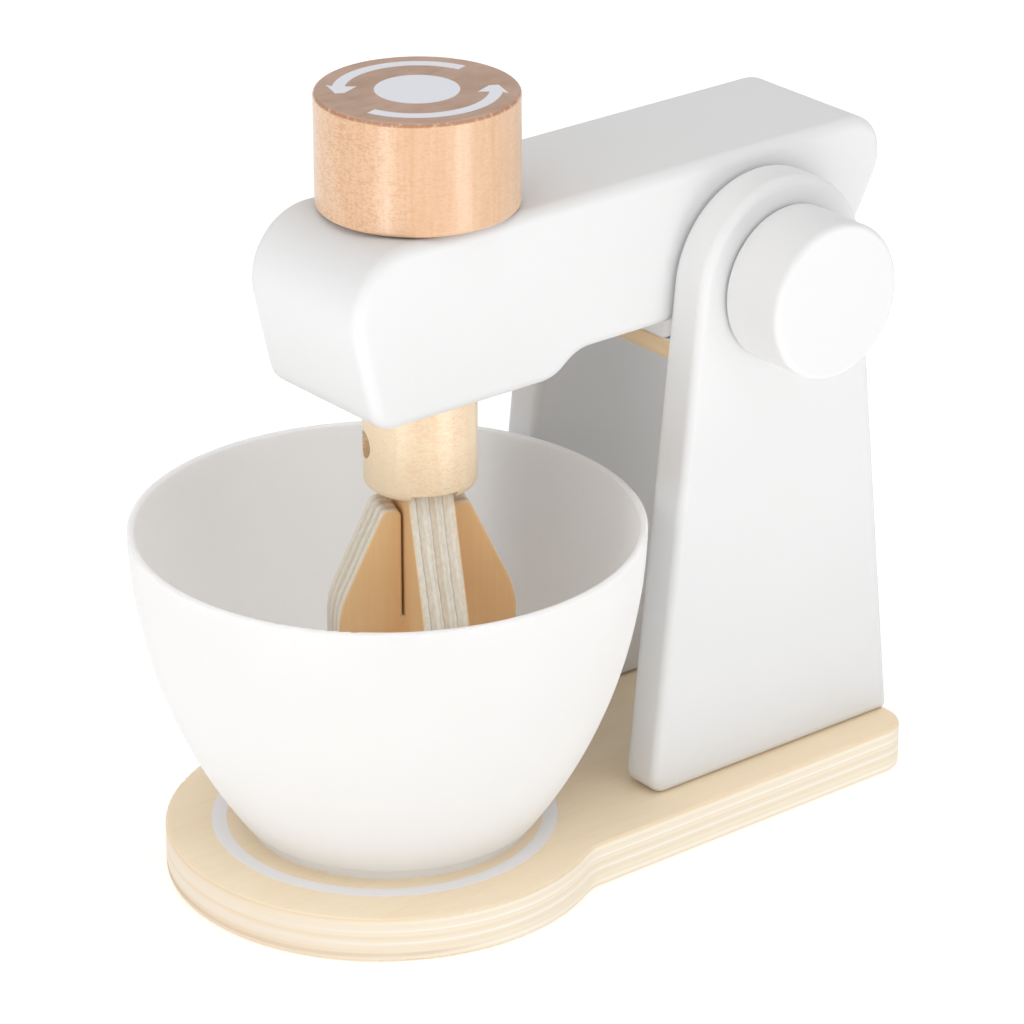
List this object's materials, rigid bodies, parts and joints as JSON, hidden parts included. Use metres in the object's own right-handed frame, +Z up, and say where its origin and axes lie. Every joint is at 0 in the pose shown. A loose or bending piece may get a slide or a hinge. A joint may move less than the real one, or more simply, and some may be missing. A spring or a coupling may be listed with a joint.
{
  "type": "toy stand mixer",
  "caption": "Wooden toy stand mixer: tilting white head between two posts, turning knob that spins a crossed-blade beater, side dial, and a loose bowl on a plywood base.",
  "frame": {"origin": "on the ground under the middle of the toy's overall box", "axes": "+Z up, the head's nose and the bowl towards -X, the tower towards +X, the dial towards -Y"},
  "size_m": [0.2055, 0.129, 0.2045],
  "materials": {
    "base_plywood": "clear satin lacquer on birch plywood",
    "white_painted_wood": "satin white paint",
    "stretcher_wood": "white painted top and natural edges",
    "knob_wood": "clear satin lacquer",
    "hub_wood": "clear satin lacquer",
    "dowel_wood": "sanded",
    "blade_plywood": "clear satin lacquer on plywood",
    "bowl_white": "matte",
    "washer_plastic": "satin",
    "screw_steel": "zinc plated"
  },
  "bodies": {
    "frame": {"base_board": "base_plywood", "post_screws": "screw_steel", "near_post": "white_painted_wood", "far_post": "white_painted_wood", "stretcher_board": "stretcher_wood", "pivot_spacer": "washer_plastic"},
    "head": {"arm": "white_painted_wood", "knob_washer": "washer_plastic", "hub_washer": "washer_plastic"},
    "dial": {"dial": "white_painted_wood", "axle": "dowel_wood", "axle_cap": "white_painted_wood"},
    "beater": {"top_knob": "knob_wood", "drive_shaft": "dowel_wood", "beater_hub": "hub_wood", "hub_screw": "screw_steel", "beater_blade_a": "blade_plywood", "beater_blade_b": "blade_plywood", "blade_dowel": "dowel_wood"},
    "bowl": {"bowl": "bowl_white"}
  },
  "joints": [
    {"name": "head_tilt", "type": "hinge", "parent": "frame", "child": "head", "pos_m": [0.05875, -0.003, 0.144], "axis": [0, 1, 0], "range_deg": [0, 72]},
    {"name": "dial_turn", "type": "hinge", "parent": "frame", "child": "dial", "pos_m": [0.05875, -0.045, 0.144], "axis": [0, 1, 0], "continuous": true},
    {"name": "beater_spin", "type": "hinge", "parent": "head", "child": "beater", "pos_m": [-0.03015, -0.003, 0.176], "axis": [0, 0, 1], "continuous": true},
    {"name": "bowl_lift", "type": "slide", "parent": "frame", "child": "bowl", "axis": [0, 0, 1], "range_m": [0, 0.02]}
  ]
}
